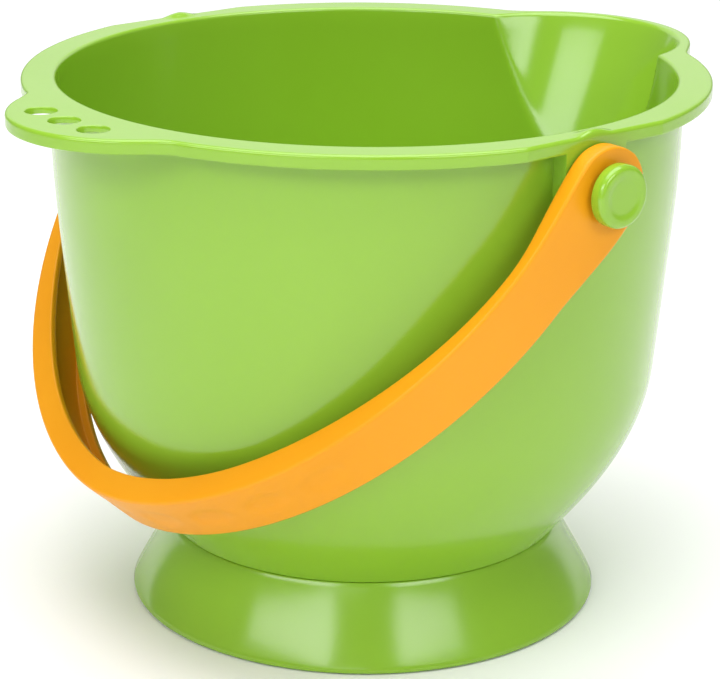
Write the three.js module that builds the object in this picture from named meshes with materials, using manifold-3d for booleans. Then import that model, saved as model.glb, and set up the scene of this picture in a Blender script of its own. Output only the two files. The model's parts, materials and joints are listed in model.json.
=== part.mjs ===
// Toy sand bucket on a flared foot, with a pouring spout, a thumb tab and a swinging strap handle.
// Millimetres. Origin at the centre of the foot's base, +X along the handle's pivot, +Y to the spout, +Z up.
import * as THREE from "three";
import { mergeVertices } from "three/addons/utils/BufferGeometryUtils.js";
import Module from "manifold-3d";

const wasm = await Module();
wasm.setup();

// Driving dimensions
const height = 160;
const rimRadius = 100;
const openingRadius = 89.9;
const flangeThickness = 1.9;
const lipDrop = 4;
const lipThickness = 1.8;
const edgeRound = 0.7;
const spoutBlend = 6;
const tabBlend = 5;
const channelBlend = 2;
const wall = 1.9;
const floorTop = 29;
const fitGap = 0.3;

// The bowl's outside as [radius, height]: a nearly straight side, then a knee that turns in to the neck
const shoulder = [92.1, 130];
const belly = [91.3, 128];
const knee = [86.5, 74];
const kneeUpper = [84.5, 50.7];
const kneeLower = [65.8, 31.6];

const neckRadius = 59.5;
const neckHeight = 23.7;
const footRadius = 70.8;
const footHemWidth = 3;
const footHemHeight = 2;
const footWall = 2;
const spigotRadius = 55.5;
const spigotDepth = 8;
const spigotWall = 2;
const collarDepth = 6.5;
const collarWall = 1.8;

const spout = { azimuth: Math.PI / 2, centre: 75, radius: 41 };
const channel = { radius: 37.2, taper: 0.2, lean: 0.3, depth: 48 };
const tab = { azimuth: -Math.PI / 2, centre: 80.2, radius: 35.8 };
const tabHole = { radius: 4.4, onRadius: 103.5, spacing: 13 };

const pivotHeight = 145.2;
const bossFace = 97;
const bossPlate = 2.2;
const bossHalfWidth = 10.8;
const bossWeb = 1.8;
const bossWebFoot = 135;
const bossRoot = 89.2;
const bossHole = 4.8;
const flatHalfWidth = 30;
const grooveLow = 0.6;
const grooveHigh = 3;
const lipFillet = 0.5;
const seam = 0.05;
const nub = { width: 9, depth: 3, rise: 1.2 };

const strapHalfSpan = 99.4;
const strapLeg = 22;
const strapDepth = 132.8;
const strapExponent = 1.85;
const strapWidth = 19.8;
const strapThickness = 3.6;
const strapEdge = 0.6;
const strapFlare = 34;
const flangeStart = 30;
const flangeFull = 112;
const frontFlange = 4.4;
const rearFlange = 1.9;
const flangeRib = 2.4;
const pocketDepth = 0.6;
const strapTilt = THREE.MathUtils.degToRad(42);
const eyeRadius = 12.5;
const eyeHole = 4.8;
const eyeRise = 1.6;
const eyeRiseStart = 8;

const shankRadius = 4.5;
const barbRadius = 5.3;
const capRadius = 8.65;
const capFace = 108.4;
const capThickness = 4.2;
const capBevel = 1.2;
const collarRadius = 6.5;
const barbLength = 1.6;
const shankEnd = 92.4;

// Resolution
const around = 96;
const wallSteps = 6;
const kneeSteps = 7;
const legSteps = 3;
const strapSteps = 48;
const roundSteps = 36;

function greenPlastic() {
  return new THREE.MeshStandardMaterial({ color: 0x8cc63f, roughness: 0.3 });
}

function orangePlastic() {
  return new THREE.MeshStandardMaterial({ color: 0xf9a11b, roughness: 0.35 });
}

function toSolid(geometry) {
  const bare = new THREE.BufferGeometry();
  bare.setAttribute("position", geometry.getAttribute("position"));
  bare.setIndex(geometry.getIndex());
  const merged = mergeVertices(bare, 1e-4);
  return new wasm.Manifold(
    new wasm.Mesh({
      numProp: 3,
      vertProperties: merged.attributes.position.array,
      triVerts: new Uint32Array(merged.index.array),
    }),
  );
}

function toMesh(name, solid, material) {
  const data = solid.getMesh();
  const geometry = new THREE.BufferGeometry();
  geometry.setAttribute("position", new THREE.BufferAttribute(data.vertProperties, 3));
  geometry.setIndex(new THREE.BufferAttribute(data.triVerts, 1));
  geometry.computeVertexNormals();
  const mesh = new THREE.Mesh(geometry, material);
  mesh.name = name;
  return mesh;
}

// A block between two corners, each [x, y, z].
function block(low, high) {
  const geometry = new THREE.BoxGeometry(high[0] - low[0], high[1] - low[1], high[2] - low[2]);
  geometry.translate((low[0] + high[0]) / 2, (low[1] + high[1]) / 2, (low[2] + high[2]) / 2);
  return toSolid(geometry);
}

// A round bar along X from x0 to x1, on the pivot axis unless another height is given.
function barAlongX(radius, x0, x1, z = pivotHeight) {
  const geometry = new THREE.CylinderGeometry(radius, radius, x1 - x0, roundSteps);
  geometry.rotateZ(Math.PI / 2);
  geometry.translate((x0 + x1) / 2, 0, z);
  return toSolid(geometry);
}

// The piece as drawn on the +X side, or turned half round to the -X side.
function onSide(solid, side) {
  return side > 0 ? solid : solid.rotate([0, 0, 180]);
}

function smoothMax(a, b, blend) {
  const near = Math.max(blend - Math.abs(a - b), 0) / blend;
  return Math.max(a, b) + (near * near * blend) / 4;
}

// Distance from the bucket's axis to the far side of a circle that is centred out along an azimuth.
function reach(angle, azimuth, centre, radius) {
  const turn = angle - azimuth;
  const side = centre * Math.sin(turn);
  if (Math.abs(side) >= radius || Math.cos(turn) < 0) return 0;
  return centre * Math.cos(turn) + Math.sqrt(radius * radius - side * side);
}

// Outline of the rim seen from above, drawn in by an inset all round.
function rimOutline(angle, inset) {
  const withSpout = smoothMax(
    rimRadius - inset,
    reach(angle, spout.azimuth, spout.centre, spout.radius - inset),
    spoutBlend,
  );
  return smoothMax(withSpout, reach(angle, tab.azimuth, tab.centre, tab.radius - inset), tabBlend);
}

// The bowl's wall where it opens into the spout: the channel leans in, narrows and dies away below the rim.
function bowlOutline(angle, radius, z, extra) {
  const below = height - z;
  if (below > channel.depth) return radius;
  const centre = spout.centre - channel.lean * below;
  const channelRadius = channel.radius - channel.taper * below + extra;
  return smoothMax(radius, reach(angle, spout.azimuth, centre, channelRadius), channelBlend);
}

function curve(...points) {
  return new THREE.CubicBezierCurve(...points.map(([radius, z]) => new THREE.Vector2(radius, z)));
}

// The bowl's outside from under the flange down to the neck, as [radius, height].
function bowlProfile() {
  const rimEnd = [openingRadius + wall, height - flangeThickness];
  const side = curve(rimEnd, shoulder, belly, knee);
  const turn = curve(knee, kneeUpper, kneeLower, [neckRadius, neckHeight]);
  return [...side.getPoints(wallSteps), ...turn.getPoints(kneeSteps).slice(1)];
}

// The same line moved in by the wall, kept above the floor.
function bowlInside(outside) {
  const inside = [];
  outside.forEach((point, i) => {
    const before = outside[Math.max(i - 1, 0)];
    const after = outside[Math.min(i + 1, outside.length - 1)];
    const along = after.clone().sub(before).normalize();
    const inner = new THREE.Vector2(point.x + along.y * wall, point.y - along.x * wall);
    if (inner.y > floorTop + wall && i > 0) inside.push(inner);
  });
  return inside;
}

// One closed skin for bowl, spout, rim, lip and spigot: rings of stations from the inner floor's centre,
// up the inside, over the rim and down the outside to the underside's centre.
function shellStations() {
  const outside = bowlProfile();
  const inside = bowlInside(outside);
  const top = height;
  const under = height - flangeThickness;
  const lipFoot = height - lipDrop;
  const floorEdge = inside[inside.length - 1].x - wall;
  const stations = [];
  const ring = (radiusAt, heightAt) => stations.push({ radiusAt, heightAt });
  const flat = (radius, z) => ring(() => radius, () => z);
  const bowl = (radius, z, extra) => ring((angle) => bowlOutline(angle, radius, z, extra), () => z);
  const rim = (inset, z) => ring((angle) => rimOutline(angle, inset), () => z);
  const lipInner = (angle) => rimOutline(angle, lipThickness);
  const wallOuter = (angle) => bowlOutline(angle, openingRadius + wall, under, wall);
  // Where the spout's wall meets the lip there is no groove between them.
  const underHeight = (angle) => {
    const gap = lipInner(angle) - wallOuter(angle);
    const room = THREE.MathUtils.smoothstep(gap, grooveLow, grooveHigh);
    return lipFoot + room * (under - lipFoot);
  };
  flat(0, floorTop);
  flat(floorEdge, floorTop);
  inside.reverse().forEach((p) => bowl(p.x, p.y, 0));
  bowl(openingRadius, top - flangeThickness, 0);
  bowl(openingRadius + edgeRound / 3, top - edgeRound, edgeRound / 3);
  bowl(openingRadius + edgeRound, top, edgeRound);
  rim(edgeRound, top);
  rim(0, top - edgeRound);
  rim(0, lipFoot + edgeRound / 2);
  rim(edgeRound / 2, lipFoot);
  rim(lipThickness, lipFoot);
  ring((angle) => lipInner(angle) - seam, underHeight);
  ring((angle) => Math.min(wallOuter(angle) + seam, lipInner(angle) - 2 * seam), underHeight);
  outside.slice(1).forEach((p) => bowl(p.x, Math.min(p.y, lipFoot - lipFillet), wall));
  flat(spigotRadius, neckHeight);
  flat(spigotRadius, neckHeight - spigotDepth);
  flat(spigotRadius - spigotWall, neckHeight - spigotDepth);
  flat(spigotRadius - spigotWall, floorTop - wall);
  flat(0, floorTop - wall);
  return stations;
}

// Stitches the stations' rings into one closed surface that faces out.
function skin(stations) {
  const positions = [];
  const faces = [];
  const last = stations.length - 1;
  stations.forEach(({ radiusAt, heightAt }) => {
    for (let i = 0; i < around; i++) {
      const angle = (i / around) * 2 * Math.PI;
      const radius = radiusAt(angle);
      positions.push(radius * Math.cos(angle), radius * Math.sin(angle), heightAt(angle));
    }
  });
  for (let row = 0; row < last; row++) {
    for (let i = 0; i < around; i++) {
      const a = row * around + i;
      const b = row * around + ((i + 1) % around);
      const c = a + around;
      const d = b + around;
      if (row > 0) faces.push(a, c, b);
      if (row < last - 1) faces.push(b, c, d);
    }
  }
  return { positions, faces };
}

function shellSkin() {
  const { positions, faces } = skin(shellStations());
  const geometry = new THREE.BufferGeometry();
  geometry.setAttribute("position", new THREE.Float32BufferAttribute(positions, 3));
  geometry.setIndex(faces);
  return toSolid(geometry);
}

// Flat-faced hinge boss under the rim: a round-bottomed plate on two side webs, open below.
function boss() {
  const plateBack = bossFace - bossPlate;
  const plateTop = block([plateBack, -bossHalfWidth, pivotHeight], [bossFace, bossHalfWidth, height]);
  const webs = [-bossHalfWidth, bossHalfWidth - bossWeb].map((y) =>
    block([bossRoot, y, bossWebFoot], [bossFace - bossPlate / 2, y + bossWeb, height - flangeThickness / 2]),
  );
  const plate = barAlongX(bossHalfWidth, plateBack, bossFace);
  return [plateTop, ...webs].reduce((all, piece) => all.add(piece), plate);
}

// Low rounded nub on the rim's top edge above the pivot.
function rimNub() {
  const radius = (nub.width ** 2 / 4 + nub.rise ** 2) / (2 * nub.rise);
  const bar = barAlongX(radius, bossFace - nub.depth, bossFace, height + nub.rise - radius);
  const low = [0, -nub.width, height - flangeThickness / 2];
  const keep = block(low, [rimRadius, nub.width, height + nub.width]);
  return bar.intersect(keep);
}

// Three drain holes in the thumb tab.
function tabHoles() {
  return [-1, 0, 1].map((step) => {
    const angle = tab.azimuth + (step * tabHole.spacing) / tabHole.onRadius;
    const length = 4 * flangeThickness;
    const geometry = new THREE.CylinderGeometry(tabHole.radius, tabHole.radius, length, roundSteps);
    geometry.rotateX(Math.PI / 2);
    geometry.translate(tabHole.onRadius * Math.cos(angle), tabHole.onRadius * Math.sin(angle), height);
    return toSolid(geometry);
  });
}

function bucketShell() {
  const clear = height + lipDrop;
  let whole = shellSkin();
  for (const side of [1, -1]) {
    const flat = block([bossFace, -flatHalfWidth, bossWebFoot], [rimRadius + lipDrop, flatHalfWidth, clear]);
    const hole = barAlongX(bossHole, bossRoot + bossPlate, bossFace + bossPlate);
    whole = whole.subtract(onSide(flat, side));
    whole = whole.add(onSide(boss().add(rimNub()), side));
    whole = whole.subtract(onSide(hole, side));
  }
  tabHoles().forEach((hole) => {
    whole = whole.subtract(hole);
  });
  return toMesh("bucket_shell", whole, greenPlastic());
}

// Flared foot: a conical skirt under a ledge and a collar that takes the bowl's spigot.
function foot() {
  const seat = neckHeight - fitGap;
  const bore = spigotRadius + fitGap;
  const slope = (footRadius - neckRadius) / seat;
  const underLedge = seat - footWall;
  const ledgeEnd = neckRadius + slope * footWall - footWall;
  const profile = [
    [footRadius - footHemWidth, 0],
    [footRadius, 0],
    [neckRadius, seat],
    [bore, seat],
    [bore, seat - collarDepth],
    [bore + collarWall, seat - collarDepth],
    [bore + collarWall, underLedge],
    [ledgeEnd, underLedge],
    [footRadius - slope * footHemHeight - footWall, footHemHeight],
    [footRadius - footHemWidth, 0],
  ];
  const points = profile.map(([radius, z]) => new THREE.Vector2(radius, z));
  const geometry = new THREE.LatheGeometry(points, around);
  geometry.rotateX(Math.PI / 2);
  return toMesh("foot", toSolid(geometry), greenPlastic());
}

// Centreline of the strap hanging straight down, as [across, down]: legs from the eyes, then a rounded bow.
function strapLine() {
  const bow = [];
  for (let i = 0; i <= strapSteps; i++) {
    const turn = (i / strapSteps) * Math.PI;
    const across = Math.sign(Math.cos(turn)) * Math.abs(Math.cos(turn)) ** (2 / strapExponent);
    const down = Math.sin(turn) ** (2 / strapExponent);
    bow.push(new THREE.Vector2(strapHalfSpan * across, strapLeg + (strapDepth - strapLeg) * down));
  }
  const leg = [];
  for (let i = 0; i < legSteps; i++) leg.push(new THREE.Vector2(strapHalfSpan, (i * strapLeg) / legSteps));
  const farLeg = leg.map((p) => new THREE.Vector2(-p.x, p.y)).reverse();
  return [...leg, ...bow, ...farLeg];
}

// Half the strap's width: full around the eye, narrowing smoothly into the band.
function strapHalfWidth(down) {
  const flare = 1 - THREE.MathUtils.smoothstep(down, 0, strapFlare);
  return strapWidth / 2 + flare * (eyeRadius - strapWidth / 2);
}

// Outer face of the band, which thickens outwards into the eye.
function strapOuter(down) {
  const eye = 1 - THREE.MathUtils.smoothstep(down, eyeRiseStart, strapFlare);
  return strapThickness / 2 + eye * eyeRise;
}

// The band's cross-section, as [outwards, sideways] pairs: eased outer edges, and a flange inside along each
// edge that deepens towards the middle of the bow. The front flange is the deeper one.
function strapSection(down) {
  const wide = strapHalfWidth(down);
  const outer = strapOuter(down);
  const inner = -strapThickness / 2;
  const deep = THREE.MathUtils.smoothstep(down, flangeStart, flangeFull);
  const rear = inner - rearFlange * deep;
  const front = inner - frontFlange * deep;
  const pocket = inner + Math.max(seam, pocketDepth * deep);
  return [
    [outer, wide - strapEdge],
    [outer - strapEdge, wide],
    [rear + strapEdge, wide],
    [rear, wide - strapEdge],
    [rear, wide - flangeRib],
    [pocket, wide - flangeRib],
    [pocket, flangeRib - wide],
    [front, flangeRib - wide],
    [front, strapEdge - wide],
    [front + strapEdge, -wide],
    [outer - strapEdge, -wide],
    [outer, strapEdge - wide],
  ];
}

// The flat band swept along its centreline and tilted to its resting place.
function strap() {
  const line = strapLine();
  const last = line.length - 1;
  const count = strapSection(0).length;
  const positions = [];
  const faces = [];
  line.forEach((point, i) => {
    const along = line[Math.min(i + 1, last)].clone().sub(line[Math.max(i - 1, 0)]).normalize();
    const out = new THREE.Vector2(along.y, -along.x);
    strapSection(point.y).forEach(([lift, side]) => {
      positions.push(point.x + lift * out.x, side, -(point.y + lift * out.y));
    });
  });
  for (let i = 0; i < last; i++) {
    for (let k = 0; k < count; k++) {
      const a = i * count + k;
      const b = i * count + ((k + 1) % count);
      faces.push(a, a + count, b, b, a + count, b + count);
    }
  }
  const outline = strapSection(0).map(([lift, side]) => new THREE.Vector2(lift, side));
  THREE.ShapeUtils.triangulateShape(outline, []).forEach(([a, b, c]) => {
    faces.push(a, b, c);
    faces.push(last * count + a, last * count + c, last * count + b);
  });
  const geometry = new THREE.BufferGeometry();
  geometry.setAttribute("position", new THREE.Float32BufferAttribute(positions, 3));
  geometry.setIndex(faces);
  geometry.rotateX(-strapTilt);
  geometry.translate(0, 0, pivotHeight);
  return toSolid(geometry);
}

function handle() {
  const inner = strapHalfSpan - strapThickness / 2;
  const outer = strapHalfSpan + strapOuter(0);
  let whole = strap();
  for (const side of [1, -1]) {
    whole = whole.add(onSide(barAlongX(eyeRadius, inner, outer), side));
    whole = whole.subtract(onSide(barAlongX(eyeHole, inner - strapEdge, outer + strapEdge), side));
  }
  return toMesh("handle", whole, orangePlastic());
}

// Snap rivet: bevelled cap, collar against the eye, shank through eye and boss, barb behind the boss.
function pivotPin(name, side) {
  const capBack = capFace - capThickness;
  const eyeFace = strapHalfSpan + strapOuter(0) + fitGap;
  const barbFront = bossFace - bossPlate - fitGap;
  const profile = [
    [0, shankEnd],
    [shankRadius, shankEnd],
    [barbRadius, barbFront - barbLength / 2],
    [barbRadius, barbFront],
    [shankRadius, barbFront],
    [shankRadius, eyeFace],
    [collarRadius, eyeFace],
    [collarRadius, capBack],
    [capRadius, capBack],
    [capRadius, capFace - capBevel],
    [capRadius - capBevel, capFace],
    [0, capFace],
  ];
  const points = profile.map(([radius, x]) => new THREE.Vector2(radius, x));
  const geometry = new THREE.LatheGeometry(points, roundSteps);
  geometry.rotateZ((-side * Math.PI) / 2);
  geometry.translate(0, 0, pivotHeight);
  return toMesh(name, toSolid(geometry), greenPlastic());
}

const group = new THREE.Group();
group.add(bucketShell(), foot(), handle(), pivotPin("pivot_pin_right", 1), pivotPin("pivot_pin_left", -1));

export default group;
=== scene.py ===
"""The looks of a toy sand bucket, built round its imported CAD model. Drawing lengths are millimetres."""
import json
from math import atan2, cos, pi, radians, sin, sqrt

import bmesh
import bpy
import numpy as np
from mathutils import Matrix, Vector


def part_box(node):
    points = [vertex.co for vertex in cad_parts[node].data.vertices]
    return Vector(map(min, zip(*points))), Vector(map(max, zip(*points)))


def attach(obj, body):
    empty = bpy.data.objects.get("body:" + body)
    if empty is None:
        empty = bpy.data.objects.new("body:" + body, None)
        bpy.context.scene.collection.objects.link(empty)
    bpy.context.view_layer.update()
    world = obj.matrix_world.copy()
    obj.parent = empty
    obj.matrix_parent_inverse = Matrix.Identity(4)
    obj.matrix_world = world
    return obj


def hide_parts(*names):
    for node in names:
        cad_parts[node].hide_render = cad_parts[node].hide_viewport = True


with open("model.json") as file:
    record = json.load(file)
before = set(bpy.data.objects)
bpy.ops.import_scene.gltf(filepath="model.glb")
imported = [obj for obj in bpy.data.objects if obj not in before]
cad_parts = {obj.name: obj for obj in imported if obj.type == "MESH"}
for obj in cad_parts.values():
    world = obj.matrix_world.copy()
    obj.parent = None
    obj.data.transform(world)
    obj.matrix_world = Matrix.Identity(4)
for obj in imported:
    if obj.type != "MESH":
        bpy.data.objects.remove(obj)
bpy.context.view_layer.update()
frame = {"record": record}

MM = 0.001
PIVOT_Z = frame["record"]["behaviour"]["joints"][0]["pos_m"][2] / MM
SHELL_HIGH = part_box("bucket_shell")[1]
FOOT_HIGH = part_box("foot")[1]
PIN_LOW, PIN_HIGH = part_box("pivot_pin_right")

# Bowl and rim
TOP = 160.0
RIM_R = 100.0
OPENING_R = 89.9
MOUTH_FILLET = 1.1
FLANGE = 1.9
FLANGE_EDGE = 1.0
LIP_DROP = 4.0
LIP = 1.8
LIP_FILLET = 0.5
WALL = 1.9
FLOOR_TOP = 29.0
FLOOR_CORNER = 3.0
FLOOR_RINGS = (0.0, 15.0, 30.0, 42.0, 50.0)
SHOULDER, BELLY, KNEE = (92.1, 130), (91.3, 128), (86.5, 74)
KNEE_UPPER, KNEE_LOWER = (84.5, 50.7), (65.8, 31.6)
NECK_R, NECK_Z, NECK_FILLET = 59.5, 23.7, 0.35
SPIGOT_R, SPIGOT_WALL, SPIGOT_DROP = 55.5, 2.0, 8.0

# Spout and thumb tab: circles centred out along +Y and -Y, blended into the rim
SPOUT_Y, SPOUT_R, SPOUT_BLEND = 75.0, 41.0, 6.0
CHANNEL_R, CHANNEL_TAPER, CHANNEL_LEAN, CHANNEL_DEPTH, CHANNEL_BLEND = 37.2, 0.2, 0.3, 48.0, 1.2
TAB_Y, TAB_R, TAB_BLEND = 80.2, 35.8, 5.0
TAB_HOLE_R, TAB_HOLE_AT, TAB_HOLE_STEP, TAB_HOLE_EASE, TAB_HOLE_FLARE = 4.4, 103.5, 13.0, 0.35, 2.2

# Bosses that carry the rivets, and the nub on the rim above each
BOSS_X = SHELL_HIGH.x / MM
BOSS_PLATE = 2.2
BOSS_HALF = 10.8
BOSS_WEB = 1.8
BOSS_WEB_FOOT = 135.0
NUB_W = 9.0
NUB_H = SHELL_HIGH.z / MM - TOP

# Foot: each handle of the skirt's curve is (distance across from its own end, share of the height)
SEAT_Z = FOOT_HIGH.z / MM
FOOT_R = FOOT_HIGH.x / MM
FOOT_WALL = 2.0
FOOT_HEM = 1.3
SKIRT_UPPER, SKIRT_LOWER = (2.9, 0.68), (2.7, 0.30)
BORE_GAP = 0.3
COLLAR_DEPTH, COLLAR_WALL = 6.5, 1.8

# Handle: a superellipse bow below two straight legs, tilted to its resting place
HALF_SPAN, LEG, DEPTH, EXPONENT = 99.4, 22.0, 132.8, 1.85
STRAP_W, STRAP_T, STRAP_EDGE, FLARE = 19.8, 3.6, 0.9, 34.0
EYE_R, EYE_HOLE, EYE_EASE = 12.5, 4.8, 1.0
EYE_RISE, EYE_RISE_START = 1.6, 8.0
FLANGE_START, FLANGE_FULL = 30.0, 112.0
FRONT_FLANGE, REAR_FLANGE, RIB, POCKET = 4.4, 1.9, 2.4, 0.6
SEAM = 0.06
RIB_FILLET = 0.45
DIMPLE_STEP, DIMPLE_LONG, DIMPLE_WIDE, DIMPLE_DEPTH, DIMPLES_EACH_WAY = 19.0, 6.6, 4.2, 0.45, 4
TILT = radians(42)

# Rivets
CAP_T, CAP_ROUND, CAP_EASE, CAP_HOLLOW = 4.2, 1.5, 0.5, 0.42
SHANK_R, BARB_R, COLLAR_R = 4.5, 5.3, 6.5
EYE_GAP = 0.3

AZIMUTH = 51.2
CREASE = 32

# ---------------------------------------------------------------- curves and meshes


def smooth_max(a, b, blend):
    """The larger of two lengths, rounded over where they are nearly equal."""
    near = np.maximum(blend - np.abs(a - b), 0) / blend
    return np.maximum(a, b) + near * near * blend / 4


def smoothstep(x, low, high):
    """An eased ramp from 0 at low to 1 at high."""
    t = np.clip((x - low) / (high - low), 0, 1)
    return t * t * (3 - 2 * t)


def bezier(points, count):
    """Rows of points on the cubic through four control points."""
    t = np.linspace(0, 1, count)[:, None]
    p = np.array(points, float)
    return (1 - t) ** 3 * p[0] + 3 * (1 - t) ** 2 * t * p[1] + 3 * (1 - t) * t**2 * p[2] + t**3 * p[3]


def arc(across, up, radius, start, end, count):
    """Points on a circle's arc, from start to end in degrees."""
    angles = np.linspace(start, end, count)
    return [(across + radius * cos(radians(a)), up + radius * sin(radians(a))) for a in angles]


def ring_skin(rings):
    """Points and faces of a surface through closed rings of equally many points."""
    n = len(rings[0])
    points = np.concatenate([np.asarray(ring, float) for ring in rings]).tolist()
    faces = []
    for row in range(len(rings) - 1):
        low, high = row * n, (row + 1) * n
        for i in range(n):
            j = (i + 1) % n
            faces.append((low + i, low + j, high + j, high + i))
    return points, faces


def lathe(profile, steps):
    """Points and faces of [radius, height] pairs turned about +Z."""
    t = np.linspace(0, 2 * pi, steps, endpoint=False)
    rings = [np.stack([r * np.cos(t), r * np.sin(t), np.full(steps, z)], 1) for r, z in profile]
    return ring_skin(rings)


def on_side(points, side):
    """Turns points made about +Z to lie about the pivot, out along +X (side 1) or -X (side -1)."""
    return [(side * z, y, -side * x + PIVOT_Z) for x, y, z in points]


def new_object(name, points, faces, material):
    """A mesh object made from millimetre points."""
    mesh = bpy.data.meshes.new(name)
    mesh.from_pydata([tuple(c * MM for c in point) for point in points], [], faces)
    bm = bmesh.new()
    bm.from_mesh(mesh)
    bmesh.ops.remove_doubles(bm, verts=bm.verts, dist=1e-6)
    bmesh.ops.recalc_face_normals(bm, faces=bm.faces)
    bm.to_mesh(mesh)
    bm.free()
    obj = bpy.data.objects.new(name, mesh)
    bpy.context.scene.collection.objects.link(obj)
    mesh.materials.append(material)
    shade(obj)
    return obj


def shade(obj):
    """Smooths curved faces, leaves level ones flat, and keeps edges sharper than the crease angle crisp."""
    bm = bmesh.new()
    bm.from_mesh(obj.data)
    for face in bm.faces:
        face.smooth = abs(face.normal.z) < 0.9999
    for edge in bm.edges:
        edge.smooth = len(edge.link_faces) != 2 or edge.calc_face_angle(0) < radians(CREASE)
    bm.to_mesh(obj.data)
    bm.free()


def cut(obj, points, faces, material):
    """Takes a closed shape out of an object."""
    cutter = new_object("cutter", points, faces, material)
    modifier = obj.modifiers.new("cut", "BOOLEAN")
    modifier.operation = "DIFFERENCE"
    modifier.solver = "EXACT"
    modifier.object = cutter
    bpy.context.view_layer.update()
    evaluated = obj.evaluated_get(bpy.context.evaluated_depsgraph_get())
    done = bpy.data.meshes.new_from_object(evaluated)
    obj.modifiers.clear()
    obj.data = done
    bpy.data.objects.remove(cutter)


# ---------------------------------------------------------------- materials


def new_material(name):
    """An empty node material and its tree."""
    material = bpy.data.materials.new(name)
    material.use_nodes = True
    tree = material.node_tree
    tree.nodes.clear()
    return material, tree


def noise(tree, coordinates, scale, detail, distortion=0.0, stretch=None):
    """A noise pattern, optionally stretched by scale and turned by rotation."""
    texture = tree.nodes.new("ShaderNodeTexNoise")
    texture.inputs["Scale"].default_value = scale
    texture.inputs["Detail"].default_value = detail
    texture.inputs["Distortion"].default_value = distortion
    vector = coordinates
    if stretch:
        mapping = tree.nodes.new("ShaderNodeMapping")
        mapping.inputs["Scale"].default_value = stretch["scale"]
        mapping.inputs["Rotation"].default_value = stretch["rotation"]
        tree.links.new(coordinates, mapping.inputs["Vector"])
        vector = mapping.outputs["Vector"]
    tree.links.new(vector, texture.inputs["Vector"])
    return texture.outputs["Fac"]


def ramp(tree, value, stops):
    """Colours along a value, from [position, colour] stops."""
    node = tree.nodes.new("ShaderNodeValToRGB")
    first, last = node.color_ramp.elements
    first.position, first.color = stops[0]
    last.position, last.color = stops[-1]
    for position, tint in stops[1:-1]:
        node.color_ramp.elements.new(position).color = tint
    tree.links.new(value, node.inputs["Fac"])
    return node.outputs["Color"]


def span(tree, value, low, high, to_low, to_high):
    """A value carried from one range to another."""
    node = tree.nodes.new("ShaderNodeMapRange")
    for socket, setting in (("From Min", low), ("From Max", high), ("To Min", to_low), ("To Max", to_high)):
        node.inputs[socket].default_value = setting
    tree.links.new(value, node.inputs["Value"])
    return node.outputs["Result"]


def combine(tree, operation, a, b):
    """Two values put together by one arithmetic operation."""
    node = tree.nodes.new("ShaderNodeMath")
    node.operation = operation
    tree.links.new(a, node.inputs[0])
    tree.links.new(b, node.inputs[1])
    return node.outputs["Value"]


def bump(tree, height, strength, distance):
    """A bump node raised by a height pattern, its distance in metres."""
    node = tree.nodes.new("ShaderNodeBump")
    node.inputs["Strength"].default_value = strength
    node.inputs["Distance"].default_value = distance
    tree.links.new(height, node.inputs["Height"])
    return node


def moulded_plastic(name, colour, deep, pale, roughness, gloss):
    """Moulded polypropylene: faint flow mottling, fine orange peel, slight waviness and hair scratches."""
    material, tree = new_material(name)
    out = tree.nodes.new("ShaderNodeOutputMaterial")
    bsdf = tree.nodes.new("ShaderNodeBsdfPrincipled")
    tree.links.new(bsdf.outputs["BSDF"], out.inputs["Surface"])
    place = tree.nodes.new("ShaderNodeTexCoord").outputs["Object"]

    mottle = noise(tree, place, 9.0, 4.0, 0.6)
    tint = ramp(tree, mottle, [(0.3, (*deep, 1)), (0.5, (*colour, 1)), (0.72, (*pale, 1))])
    tree.links.new(tint, bsdf.inputs["Base Color"])

    haze = span(tree, noise(tree, place, 22.0, 5.0, 0.3), 0.3, 0.7, roughness - 0.03, roughness + 0.05)
    lengthways = {"scale": (1.0, 14.0, 1.0), "rotation": (0.3, 0.2, 0.9)}
    crossways = {"scale": (12.0, 1.0, 1.0), "rotation": (0.1, 0.7, -0.5)}
    scratch_a = span(tree, noise(tree, place, 60.0, 2.0, 0.0, lengthways), 0.66, 0.74, 0.0, 1.0)
    scratch_b = span(tree, noise(tree, place, 70.0, 2.0, 0.0, crossways), 0.67, 0.75, 0.0, 1.0)
    scratches = combine(tree, "MAXIMUM", scratch_a, scratch_b)
    rough = combine(tree, "ADD", haze, span(tree, scratches, 0.0, 1.0, 0.0, 0.03))
    tree.links.new(rough, bsdf.inputs["Roughness"])

    peel = bump(tree, noise(tree, place, 420.0, 2.0), 0.12, 0.00012)
    wave = bump(tree, noise(tree, place, 26.0, 1.0), 0.10, 0.0012)
    tree.links.new(peel.outputs["Normal"], wave.inputs["Normal"])
    tree.links.new(wave.outputs["Normal"], bsdf.inputs["Normal"])

    bsdf.inputs["IOR"].default_value = 1.49
    bsdf.inputs["Specular IOR Level"].default_value = gloss
    bsdf.inputs["Subsurface Weight"].default_value = 0.06
    bsdf.inputs["Subsurface Radius"].default_value = (0.6, 1.0, 0.3)
    bsdf.inputs["Subsurface Scale"].default_value = 0.002
    return material


green = moulded_plastic("green_polypropylene", colour=(0.248, 0.472, 0.026), deep=(0.239, 0.461, 0.023),
                        pale=(0.257, 0.483, 0.030), roughness=0.16, gloss=0.68)
orange = moulded_plastic("orange_polypropylene", colour=(0.800, 0.320, 0.006), deep=(0.775, 0.298, 0.005),
                         pale=(0.825, 0.340, 0.008), roughness=0.36, gloss=0.25)

# ---------------------------------------------------------------- shell


def reach(angle, azimuth, centre, radius):
    """Distance from the bucket's axis to the far side of a circle centred out along an azimuth."""
    turn = angle - azimuth
    side = centre * np.sin(turn)
    inside = (np.abs(side) < radius) & (np.cos(turn) > 0)
    root = np.sqrt(np.maximum(radius * radius - side * side, 0))
    return np.where(inside, centre * np.cos(turn) + root, 0.0)


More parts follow.
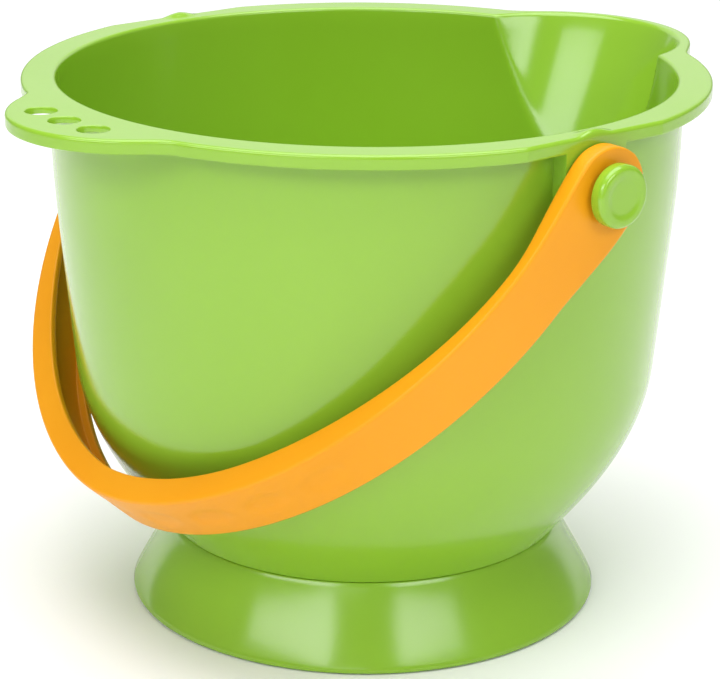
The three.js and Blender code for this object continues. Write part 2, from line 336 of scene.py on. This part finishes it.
def rim_outline(angle, inset):
    """The rim's outer edge, brought in by an inset and held inside the two flat boss faces."""
    rim = smooth_max(RIM_R - inset, reach(angle, pi / 2, SPOUT_Y, SPOUT_R - inset), SPOUT_BLEND)
    rim = smooth_max(rim, reach(angle, -pi / 2, TAB_Y, TAB_R - inset), TAB_BLEND)
    return np.minimum(rim, (BOSS_X - inset) / np.maximum(np.abs(np.cos(angle)), 1e-6))


def bowl_outline(angle, radius, z, extra):
    """The bowl at one height, opened into the spout's channel, which leans in and narrows on the way down."""
    below = TOP - z
    if below > CHANNEL_DEPTH:
        return np.full_like(angle, radius)
    channel_r = CHANNEL_R - CHANNEL_TAPER * below + extra
    channel = reach(angle, pi / 2, SPOUT_Y - CHANNEL_LEAN * below, channel_r)
    return smooth_max(radius, channel, CHANNEL_BLEND)


def shell_angles():
    """Angles round the bucket, closer where the spout meets the rim and where a boss or nub starts."""
    step_in, step_near = 2e-5, 0.004
    angles = [np.linspace(0, 2 * pi, 420, endpoint=False)]
    for from_spout, spread, count in ((24.4, 3, 28), (20, 2, 10)):
        for side in (-1, 1):
            middle = 90 + side * from_spout
            angles.append(np.radians(np.linspace(middle - spread, middle + spread, count)))
    for y in (NUB_W / 2, BOSS_HALF - BOSS_WEB, BOSS_HALF, sqrt(RIM_R**2 - BOSS_X**2)):
        corner = atan2(y, BOSS_X)
        for k in (corner - step_in, corner + step_in, corner - step_near, corner + step_near):
            angles.append([k, -k, pi - k, pi + k])
    across_boss = np.arctan(np.linspace(-BOSS_HALF, BOSS_HALF, 41)[1:-1] / BOSS_X)
    angles += [across_boss, pi + across_boss]
    every = np.unique(np.round(np.concatenate(angles) % (2 * pi), 6))
    kept = [every[0]]
    for angle in every[1:]:
        if angle - kept[-1] > 1.25 * step_in:
            kept.append(angle)
    return np.array(kept)


def distance_from_boss(angle):
    """How far each angle's point lies from the middle of the nearer boss, and a long way off elsewhere."""
    return np.where(np.abs(np.cos(angle)) > 0.9, np.abs(np.tan(angle) * BOSS_X), 1e3)


def bowl_profile():
    """The bowl's outside from under the flange down to the neck, as rows of radius and height."""
    side = bezier([(OPENING_R + WALL, TOP - FLANGE), SHOULDER, BELLY, KNEE], 26)
    knee = bezier([KNEE, KNEE_UPPER, KNEE_LOWER, (NECK_R, NECK_Z)], 30)
    return np.vstack([side, knee[1:]])


def inside_rings(angle):
    """The bowl's floor, its soft corner, the wall above and the rounded mouth."""
    outside = bowl_profile()
    along = np.gradient(outside, axis=0)
    along /= np.linalg.norm(along, axis=1)[:, None]
    inside = outside + WALL * np.stack([along[:, 1], -along[:, 0]], 1)
    inside = inside[inside[:, 1] > FLOOR_TOP + FLOOR_CORNER]
    end = inside[-1]
    onward = tuple(end + 0.6 * (end - inside[-4]))
    corner = bezier([(end[0] - 8, FLOOR_TOP), (end[0] - 3.5, FLOOR_TOP), onward, tuple(end)], 9)
    rings = [(radius, FLOOR_TOP) for radius in FLOOR_RINGS]
    rings += [tuple(point) for point in corner[:-1]]
    for radius, z in inside[::-1]:
        if z < TOP - FLANGE - 0.6:
            rings.append((bowl_outline(angle, radius, z, 0), z))
    for radius, z in arc(OPENING_R + MOUTH_FILLET, TOP - MOUTH_FILLET, MOUTH_FILLET, 180, 90, 7):
        rings.append((bowl_outline(angle, radius, z, radius - OPENING_R), z))
    return rings


def flange_rings(angle, off):
    """The top of the flange, with the nubs rising over the bosses, and its rounded outer edge."""
    nub = np.clip(1 - (off / (0.75 * NUB_W)) ** 2, 0, 1) ** 2 * NUB_H
    mouth = bowl_outline(angle, OPENING_R + MOUTH_FILLET, TOP, MOUTH_FILLET) + 0.02
    rises = ((5.4, 0.0), (4.6, 0.12), (3.8, 0.42), (3.0, 0.75), (2.2, 0.95), (1.6, 1.0), (1.1, 0.98))
    rings = [(np.maximum(rim_outline(angle, inset), mouth), TOP + lift * nub) for inset, lift in rises]
    for out, z in arc(0, TOP - FLANGE_EDGE, FLANGE_EDGE, 90, 0, 6):
        share = (z - (TOP - FLANGE_EDGE)) / FLANGE_EDGE
        rings.append((rim_outline(angle, FLANGE_EDGE - out), z + 0.95 * nub * share))
    return rings


def lip_rings(angle, foot, lip_in):
    """The lip's face down to its foot, and the eased turn back up inside it."""
    start = TOP - FLANGE_EDGE
    rings = []
    for share in (0.1, 0.5, 0.9):
        rings.append((rim_outline(angle, 0), start + (foot + LIP_FILLET - start) * share))
    for inset, lift in ((0.0, LIP_FILLET), (0.15, 0.15), (LIP_FILLET, 0.0)):
        rings.append((rim_outline(angle, inset), foot + lift))
    rings.append((lip_in + LIP_FILLET, foot))
    rings.append((lip_in + 0.1, foot + 0.12))
    rings.append((lip_in, foot + LIP_FILLET))
    return rings


def underside_rings(lip_in, wall_out, under_z, room):
    """The flange's underside from the lip to the wall, with an eased corner at each."""
    gap = np.maximum(lip_in - wall_out, 0.3)
    return [
        (lip_in - 0.02 * gap, under_z - 0.3 * room),
        (lip_in - 0.12 * gap, under_z),
        (wall_out + 0.2 * gap, under_z),
        (wall_out + 0.05 * gap, under_z - 0.3 * room),
    ]


def outside_rings(angle, under_z):
    """The outside of the bowl down to the neck, the spigot below it and the underside of the floor."""
    rings = []
    for radius, z in bowl_profile()[1:-1]:
        rings.append((bowl_outline(angle, radius, z, WALL), np.minimum(z, under_z - 0.4)))
    rings += arc(NECK_R - 0.2, NECK_Z + NECK_FILLET, NECK_FILLET, -20, -90, 4)
    spigot_foot = NECK_Z - SPIGOT_DROP
    spigot_in = SPIGOT_R - SPIGOT_WALL
    floor_under = FLOOR_TOP - WALL
    rings += [(SPIGOT_R, NECK_Z), (SPIGOT_R, spigot_foot), (spigot_in, spigot_foot)]
    rings += [(spigot_in, floor_under), (20.0, floor_under), (0.0, floor_under)]
    return rings


def shell_mesh():
    """The whole moulding as one skin: up the inside, over the rim and down the outside."""
    angle = shell_angles()
    off = distance_from_boss(angle)
    on_boss = off < BOSS_HALF
    on_web = on_boss & (off > BOSS_HALF - BOSS_WEB)

    # The lip runs on down as the round-bottomed boss plate
    plate_foot = PIVOT_Z - np.sqrt(np.maximum(BOSS_HALF**2 - np.minimum(off, BOSS_HALF) ** 2, 0))
    foot = np.where(on_boss, plate_foot, TOP - LIP_DROP)
    lip_in = rim_outline(angle, LIP) - np.where(on_boss, BOSS_PLATE - LIP, 0.0)

    # The underside drops to the lip where the spout leaves it no room, and to a web at each side of a boss
    wall_out = bowl_outline(angle, OPENING_R + WALL, TOP - FLANGE, WALL)
    room = smoothstep(lip_in - wall_out, 0.6, 3.0)
    closed = TOP - LIP_DROP + 0.5
    under_z = closed + room * (LIP_DROP - FLANGE - 0.5)
    under_z = np.where(on_web, BOSS_WEB_FOOT, under_z)
    under_z = np.where(on_boss, np.maximum(under_z, foot + LIP_FILLET + 0.1), under_z)

    outline = inside_rings(angle) + flange_rings(angle, off) + lip_rings(angle, foot, lip_in)
    outline += underside_rings(lip_in, wall_out, under_z, room) + outside_rings(angle, under_z)
    rings = []
    for radius, z in outline:
        height = np.broadcast_to(z, angle.shape)
        rings.append(np.stack([radius * np.cos(angle), radius * np.sin(angle), height], 1))
    return ring_skin(rings)


def hole_profile():
    """A round hole's cutter about +Z, which flares at the flange's two faces to leave eased edges."""
    ease = TAB_HOLE_EASE
    wide = TAB_HOLE_R + ease
    far = TAB_HOLE_R + TAB_HOLE_FLARE
    low, bottom, high = TOP - 8, TOP - FLANGE, TOP + 4
    profile = [(0, low), (far, low), (wide, bottom - 0.05)]
    for a in (30, 60, 90):
        profile.append((wide - ease * sin(radians(a)), bottom + ease - ease * cos(radians(a))))
    for a in (0, 30, 60):
        profile.append((wide - ease * cos(radians(a)), TOP - ease + ease * sin(radians(a))))
    profile += [(wide, TOP + 0.05), (far, high), (0, high)]
    return profile


def make_shell():
    """The bowl moulding, with the thumb tab's three holes cut through."""
    points, faces = shell_mesh()
    shell = new_object("shell_moulding", points, faces, green)
    for step in (-1, 0, 1):
        angle = -pi / 2 + step * TAB_HOLE_STEP / TAB_HOLE_AT
        across, along = TAB_HOLE_AT * cos(angle), TAB_HOLE_AT * sin(angle)
        points, faces = lathe(hole_profile(), 64)
        cut(shell, [(x + across, y + along, z) for x, y, z in points], faces, green)
    shade(shell)
    return shell


# ---------------------------------------------------------------- foot


def make_foot():
    """The flared skirt, its hem, its hollow underside and the collar that takes the bowl's spigot."""
    bore = SPIGOT_R + BORE_GAP
    slope = (FOOT_R - NECK_R) / SEAT_Z
    skirt = bezier([(NECK_R, SEAT_Z - 0.5), (NECK_R + SKIRT_UPPER[0], SEAT_Z * SKIRT_UPPER[1]),
                    (FOOT_R - SKIRT_LOWER[0], SEAT_Z * SKIRT_LOWER[1]), (FOOT_R, FOOT_HEM)], 22)
    profile = [(bore, SEAT_Z), (bore + 1.5, SEAT_Z), (NECK_R - 1.2, SEAT_Z)]
    profile += arc(NECK_R - 0.6, SEAT_Z - 0.5, 0.5, 80, 20, 4)
    profile += [tuple(point) for point in skirt]
    profile += arc(FOOT_R - 0.9, 0.9, 0.9, 0, -90, 5)
    profile += arc(FOOT_R - 2.3, 0.7, 0.7, -90, -180, 5)
    for radius, z in skirt[::-1]:
        if 2.2 < z < SEAT_Z - 2.6:
            profile.append((radius - FOOT_WALL - 1.0 * (1 - z / SEAT_Z), z))
    ledge = SEAT_Z - FOOT_WALL
    collar_foot = SEAT_Z - COLLAR_DEPTH
    profile += [(NECK_R + slope * FOOT_WALL - FOOT_WALL, ledge), (bore + COLLAR_WALL, ledge)]
    profile += [(bore + COLLAR_WALL, collar_foot), (bore, collar_foot), (bore, SEAT_Z)]
    points, faces = lathe(profile, 240)
    return new_object("foot_skirt", points, faces, green)


# ---------------------------------------------------------------- handle


def strap_line():
    """The centreline as it hangs straight down, eye top to eye top: distances across and down."""
    t = np.linspace(0, pi, 221)
    across = np.sign(np.cos(t)) * np.abs(np.cos(t)) ** (2 / EXPONENT) * HALF_SPAN
    down = LEG + (DEPTH - LEG) * np.sin(t) ** (2 / EXPONENT)
    over_eye = -EYE_R * np.cos(np.radians(np.linspace(0, 90, 16)))
    leg = np.concatenate([over_eye[:-1], np.linspace(0, LEG, 13)[:-1]])
    x = np.concatenate([np.full(len(leg), HALF_SPAN), across, np.full(len(leg), -HALF_SPAN)])
    return x, np.concatenate([leg, down, leg[::-1]])


def strap_half_width(down):
    """Half the band's width: round over the eye, then narrowing from the eye to the bow."""
    if down < 0:
        return sqrt(max(EYE_R**2 - down * down, 0.01))
    return STRAP_W / 2 + (1 - smoothstep(down, 0, FLARE)) * (EYE_R - STRAP_W / 2)


def turn(lift, side, radius, start, end):
    """An eased corner of the band's section, from start to end in degrees."""
    angles = np.linspace(start, end, 5)
    return [(lift + radius * sin(radians(a)), side + radius * cos(radians(a))) for a in angles]


def strap_section(down):
    """The band's section as [outwards, sideways] pairs: a flat face, and a flange inside each edge."""
    wide = strap_half_width(down)
    edge = min(STRAP_EDGE, wide * 0.9)
    inner_edge = 0.6 * edge
    deep = smoothstep(down, FLANGE_START, FLANGE_FULL)
    inner = -STRAP_T / 2
    top = STRAP_T / 2 + EYE_RISE * (1 - smoothstep(down, EYE_RISE_START, FLARE))
    rear = inner - REAR_FLANGE * deep
    front = inner - FRONT_FLANGE * deep
    pocket = inner + max(SEAM, POCKET * deep)
    rib = min(RIB, wide * 0.4)
    small = min(RIB_FILLET, RIB_FILLET * (pocket - rear))
    section = [(top, s * (wide - edge)) for s in np.linspace(-1, 1, 13)]
    section += turn(top - edge, wide - edge, edge, 80, 0)
    section += turn(rear + inner_edge, wide - inner_edge, inner_edge, 0, -90)
    section += turn(rear + small, wide - rib + small, small, -90, -180)
    section += turn(pocket - small, wide - rib - small, small, 0, 90)
    section += [(pocket, s * (wide - rib)) for s in np.linspace(0.8, -0.8, 5)]
    section += turn(pocket - small, rib - wide + small, small, 90, 180)
    section += turn(front + small, rib - wide - small, small, 0, -90)
    section += turn(front + inner_edge, -wide + inner_edge, inner_edge, -90, -180)
    section += turn(top - edge, -wide + edge, edge, 180, 100)
    return section, top


def dimple(along, side):
    """Depth of the row of shallow ovals in the band's outer face, at a distance along and across it."""
    number = round(along / DIMPLE_STEP)
    if abs(number) > DIMPLES_EACH_WAY:
        return 0.0
    near = (along / DIMPLE_STEP - number) * DIMPLE_STEP
    oval = (near / DIMPLE_LONG) ** 2 + (side / DIMPLE_WIDE) ** 2
    return DIMPLE_DEPTH * float(1 - smoothstep(oval, 0.35, 1.15))


def strap_rings():
    """The band's sections along its line, dimpled and tilted towards the thumb tab."""
    x, down = strap_line()
    along_x, along_down = np.gradient(x), np.gradient(down)
    length = np.hypot(along_x, along_down)
    straight = down <= LEG
    along_x = np.where(straight, 0.0, along_x / length)
    along_down = np.where(straight, np.where(x > 0, 1.0, -1.0), along_down / length)
    walk = np.concatenate([[0], np.cumsum(np.hypot(np.diff(x), np.diff(down)))])
    middle = walk[len(walk) // 2]
    rings = []
    for i in range(len(x)):
        section, top = strap_section(down[i])
        ring = []
        for lift, side in section:
            if lift > top - 0.01 and down[i] > FLARE * 0.8:
                lift = lift - dimple(walk[i] - middle, side)
            across = x[i] + lift * along_down[i]
            drop = down[i] - lift * along_x[i]
            y = side * cos(TILT) - drop * sin(TILT)
            z = -side * sin(TILT) - drop * cos(TILT)
            ring.append((across, y, z + PIVOT_Z))
        rings.append(ring)
    return rings


def make_handle():
    """The strap, closed at its two ends, with a bore through each eye."""
    rings = strap_rings()
    points, faces = ring_skin(rings)
    count = len(rings[0])
    faces.append(tuple(range(count)))
    faces.append(tuple(range(len(points) - count, len(points)))[::-1])
    strap = new_object("strap_handle", points, faces, orange)
    outer = HALF_SPAN + STRAP_T / 2 + EYE_RISE
    inner = HALF_SPAN - STRAP_T / 2
    wide = EYE_HOLE + EYE_EASE
    for side in (1, -1):
        bore = [(0, inner - 1), (wide, inner - 1), (EYE_HOLE, inner + 0.3), (EYE_HOLE, outer - 0.3),
                (wide, outer + 0.7), (0, outer + 0.7)]
        points, faces = lathe(bore, 96)
        cut(strap, on_side(points, side), faces, orange)
    shade(strap)
    return strap


# ---------------------------------------------------------------- rivets


def make_rivet(name, side):
    """A snap rivet: barb behind the boss, shank, collar by the eye, and a round cap with a shallow hollow."""
    tip = PIN_LOW.x / MM
    face = PIN_HIGH.x / MM
    radius = PIN_HIGH.y / MM
    back = face - CAP_T
    floor = face - CAP_HOLLOW
    eye_face = HALF_SPAN + STRAP_T / 2 + EYE_RISE + EYE_GAP
    barb = BOSS_X - BOSS_PLATE - EYE_GAP
    profile = [(0, tip), (4.0, tip), (SHANK_R, tip + 0.4), (BARB_R, barb - 0.8), (BARB_R, barb)]
    profile += [(SHANK_R, barb), (SHANK_R, eye_face), (COLLAR_R, eye_face), (COLLAR_R, back + 0.2)]
    profile.append((7.0, back))
    profile += arc(radius - CAP_EASE, back + CAP_EASE, CAP_EASE, -90, 0, 4)
    profile += arc(radius - CAP_ROUND, face - CAP_ROUND, CAP_ROUND, 0, 90, 8)
    profile += [(radius - 2.4, face - 0.02), (radius - 3.0, face - 0.16), (radius - 3.6, face - 0.34)]
    profile += [(radius - 4.4, floor), (2.0, floor), (0, floor)]
    points, faces = lathe(profile, 96)
    return new_object(name, on_side(points, side), faces, green)


shell = make_shell()
foot = make_foot()
handle = make_handle()
rivet_right = make_rivet("rivet_right", 1)
rivet_left = make_rivet("rivet_left", -1)

for piece, body, node, slot in (
    (shell, "bucket", "bucket_shell", "green_plastic"),
    (foot, "bucket", "foot", "green_plastic"),
    (handle, "handle", "handle", "orange_plastic"),
    (rivet_right, "bucket", "pivot_pin_right", "green_plastic"),
    (rivet_left, "bucket", "pivot_pin_left", "green_plastic"),
):
    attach(piece, body)
    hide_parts(node)

# ---------------------------------------------------------------- stage, lights and camera

FLOOR_HALF = 6.0
FLOOR_DROP = 0.0003
AIM = (0, 0, 0.08)
VIEW_OUT, VIEW_UP = 0.73011, 0.16414
VIEW_PAN, VIEW_PITCH, VIEW_ROLL = 0.0019, 0.3265, 0.0072


def make_stage():
    """A plain pale floor, just clear of the foot."""
    material, tree = new_material("floor_paper")
    out = tree.nodes.new("ShaderNodeOutputMaterial")
    bsdf = tree.nodes.new("ShaderNodeBsdfPrincipled")
    bsdf.inputs["Base Color"].default_value = (0.92, 0.92, 0.92, 1)
    bsdf.inputs["Roughness"].default_value = 0.9
    tree.links.new(bsdf.outputs["BSDF"], out.inputs["Surface"])
    mesh = bpy.data.meshes.new("floor")
    s = FLOOR_HALF
    mesh.from_pydata([(-s, -s, 0), (s, -s, 0), (s, s, 0), (-s, s, 0)], [], [(0, 1, 2, 3)])
    floor = bpy.data.objects.new("floor", mesh)
    bpy.context.scene.collection.objects.link(floor)
    mesh.materials.append(material)
    floor.location.z = -FLOOR_DROP


def around(azimuth, elevation, distance):
    """A point round the bucket, in metres; azimuth 0 is seen looking along +Y."""
    a, e = radians(azimuth), radians(elevation)
    return (distance * sin(a) * cos(e), -distance * cos(a) * cos(e), distance * sin(e) + AIM[2])


def softbox(name, place, width, height, power):
    """A rectangular light aimed at the bucket."""
    light = bpy.data.lights.new(name, "AREA")
    light.shape = "RECTANGLE"
    light.size, light.size_y = width, height
    light.energy = power
    obj = bpy.data.objects.new(name, light)
    bpy.context.scene.collection.objects.link(obj)
    obj.location = place
    obj.rotation_euler = (Vector(AIM) - Vector(place)).to_track_quat("-Z", "Y").to_euler()


def make_lights():
    """Soft studio light: an even surround, a large light overhead, three in front and one behind."""
    world = bpy.data.worlds.new("studio")
    world.use_nodes = True
    background = world.node_tree.nodes["Background"]
    background.inputs["Color"].default_value = (1, 1, 1, 1)
    background.inputs["Strength"].default_value = 0.24
    bpy.context.scene.world = world
    softbox("overhead", (0, 0, 1.9), 2.0, 2.0, 47)
    softbox("front_left", around(AZIMUTH - 38, 32, 1.5), 1.10, 0.46, 8)
    softbox("front_right", around(AZIMUTH + 35, 32, 1.5), 0.80, 0.46, 5.6)
    softbox("front_low", around(AZIMUTH - 12, 15, 1.7), 0.8, 0.4, 1.5)
    softbox("back", around(AZIMUTH + 180, 24, 2.4), 3.2, 1.3, 9)


def make_camera():
    """The camera, above the rim and looking down on the thumb tab's side and the right-hand rivet."""
    camera = bpy.data.cameras.new("camera")
    camera.sensor_width = 36.0
    camera.lens = 127.9
    camera.clip_end = 50
    obj = bpy.data.objects.new("camera", camera)
    bpy.context.scene.collection.objects.link(obj)
    a = radians(AZIMUTH)
    place = Matrix.Translation((VIEW_OUT * sin(a), -VIEW_OUT * cos(a), VIEW_UP + TOP * MM))
    pan = Matrix.Rotation(a + VIEW_PAN, 4, "Z")
    pitch = Matrix.Rotation(pi / 2 - VIEW_PITCH, 4, "X")
    roll = Matrix.Rotation(VIEW_ROLL, 4, "Z")
    obj.matrix_world = place @ pan @ pitch @ roll
    bpy.context.scene.camera = obj


make_stage()
make_lights()
make_camera()
bpy.context.scene.view_settings.view_transform = "Standard"

bpy.context.view_layer.update()
